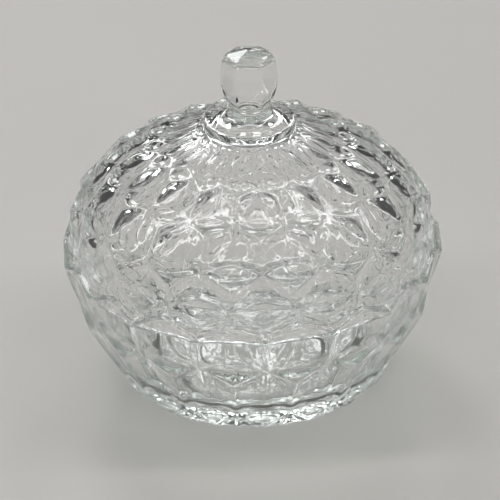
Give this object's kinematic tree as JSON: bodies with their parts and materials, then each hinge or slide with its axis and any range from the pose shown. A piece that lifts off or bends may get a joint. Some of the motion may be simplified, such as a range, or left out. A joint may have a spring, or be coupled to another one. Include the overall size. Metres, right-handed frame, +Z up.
{
  "type": "covered candy dish",
  "caption": "Covered candy dish in clear pressed glass, with a stacked-cube relief, a scalloped rim that holds the lid, and a faceted knob.",
  "frame": {"origin": "centre of the foot's underside, on the table", "axes": "+Z up along the axis of bowl, lid and knob; -Y towards one cube corner of the rim, the side shown to the viewer"},
  "size_m": [0.161, 0.1634, 0.1502],
  "materials": {
    "clear_glass": "clear pressed soda-lime glass, fire-polished, with a faint green-grey tint in thick edges"
  },
  "bodies": {
    "bowl": {"bowl": "clear_glass"},
    "lid": {"lid": "clear_glass"}
  },
  "joints": [
    {"name": "lid_lift", "type": "slide", "parent": "bowl", "child": "lid", "axis": [0, 0, 1], "range_m": [0, 0.12]}
  ]
}
